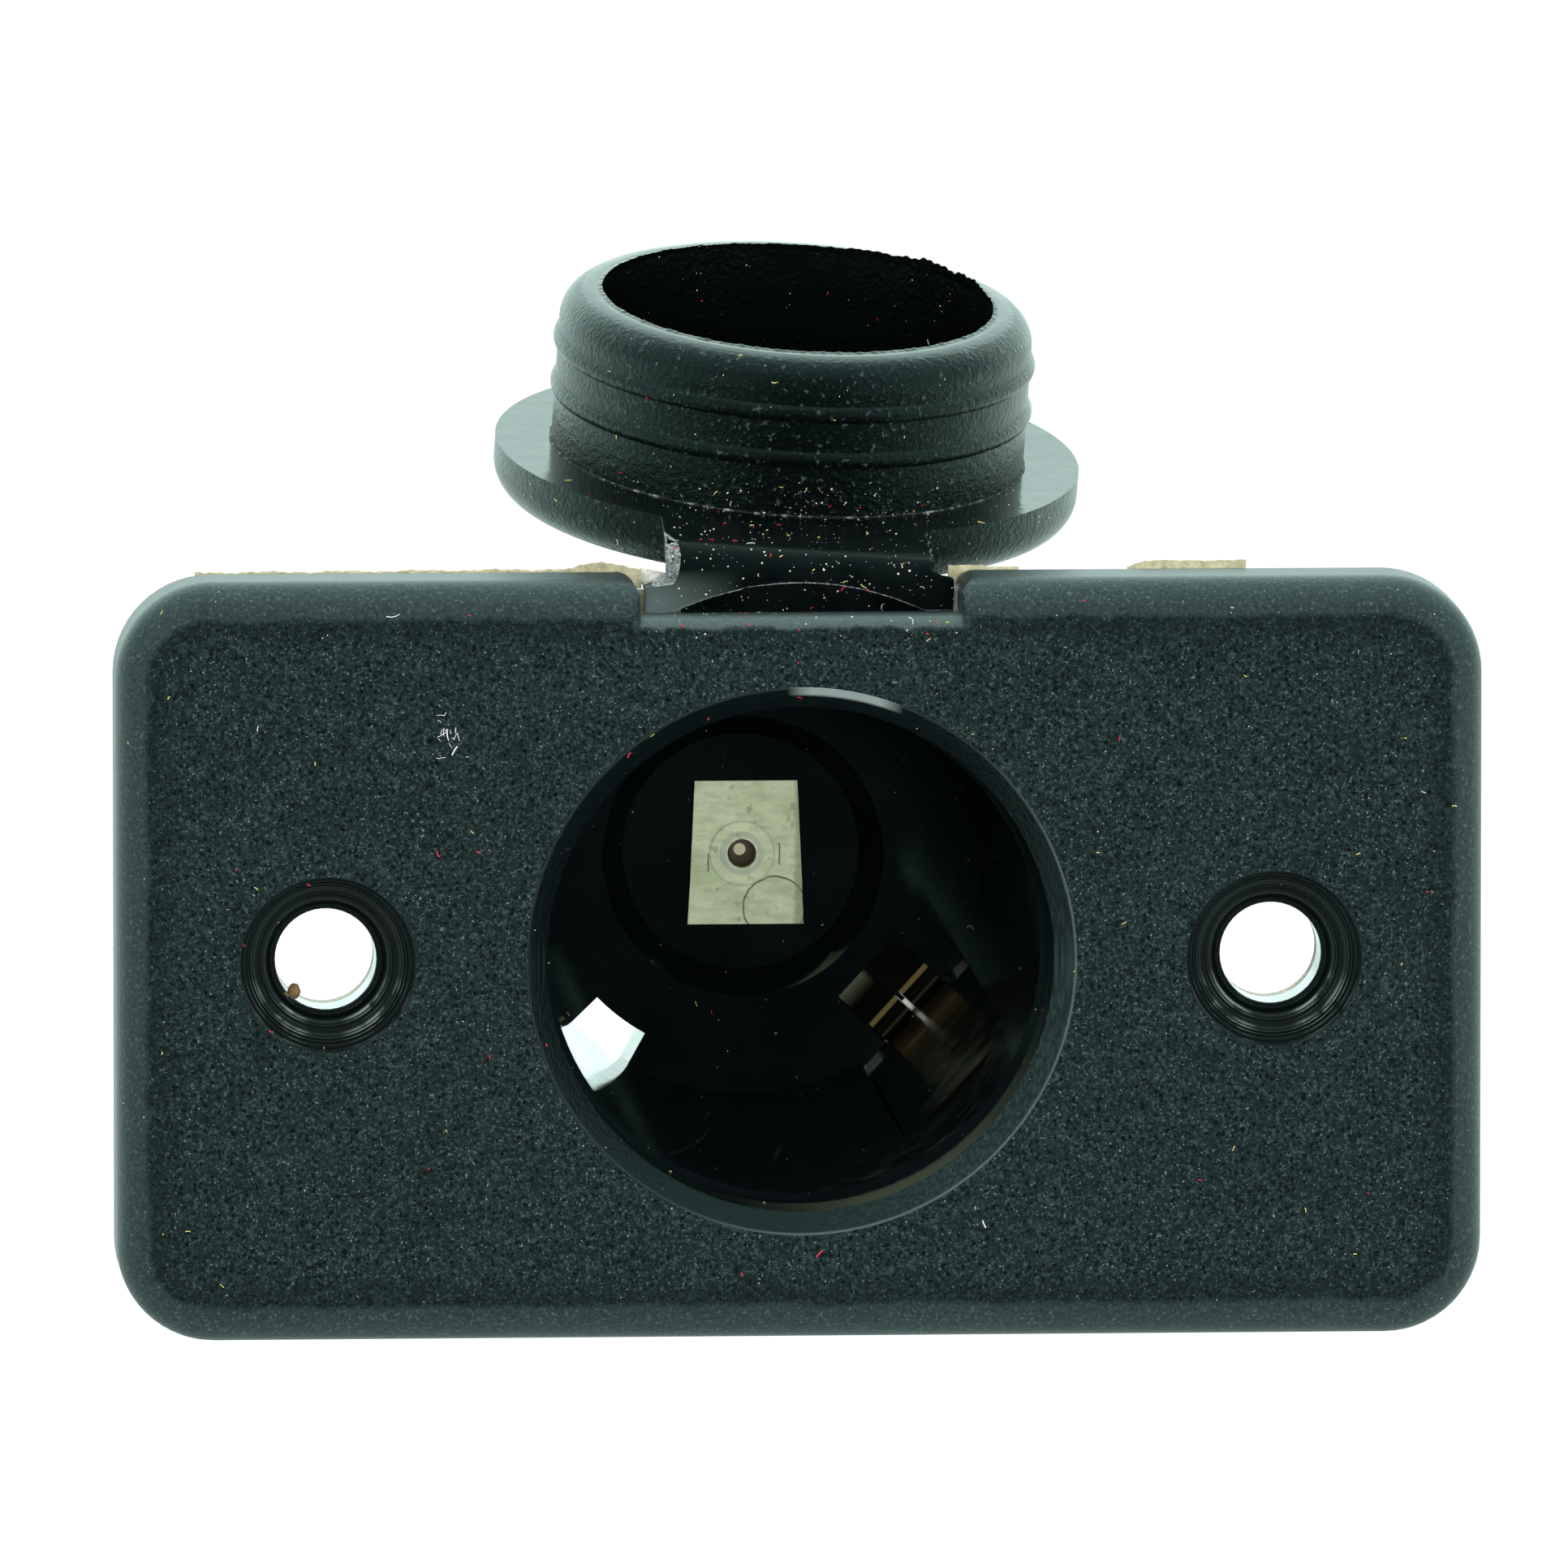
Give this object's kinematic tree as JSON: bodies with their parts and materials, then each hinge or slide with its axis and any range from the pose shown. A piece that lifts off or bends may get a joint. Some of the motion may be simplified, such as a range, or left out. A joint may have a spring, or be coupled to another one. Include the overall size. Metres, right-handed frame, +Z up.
{
  "type": "car 12v power socket",
  "caption": "Surface-mounted 12 V socket with a rectangular faceplate, countersunk screw holes, a plastic barrel with blade terminals, and a captive hinged plug cap.",
  "frame": {"origin": "on the socket's axis, in the plane where the gasket meets the panel", "axes": "+X to the right seen from the front, +Y back through the panel along the barrel, +Z up towards the cap's hinge"},
  "size_m": [0.0592, 0.0565, 0.0456],
  "materials": {
    "grained_plastic": "fine moulded grain with a low sheen",
    "glossy_plastic": "polished black",
    "cap_rubber": "smooth and shiny",
    "white_foam": "closed-cell foam",
    "beige_liner": "matt",
    "plated_contact": "tin plated, slightly dull",
    "terminal_brass": "stamped sheet"
  },
  "bodies": {
    "root": {"faceplate": "grained_plastic", "socket_barrel": "glossy_plastic", "strap_ring": "cap_rubber", "foam_gasket": "white_foam", "gasket_liner": "beige_liner", "centre_contact": "plated_contact", "centre_rivet": "plated_contact", "centre_washer": "terminal_brass", "centre_terminal": "terminal_brass", "ground_contact": "plated_contact", "ground_terminal": "terminal_brass"},
    "cap": {"plug_cap": "cap_rubber"}
  },
  "joints": [
    {"name": "cap_hinge", "type": "hinge", "parent": "root", "child": "cap", "pos_m": [0, -0.0058, 0.01748], "axis": [0.9992, 0.0181, -0.0359], "range_deg": [0, 259.2]}
  ]
}
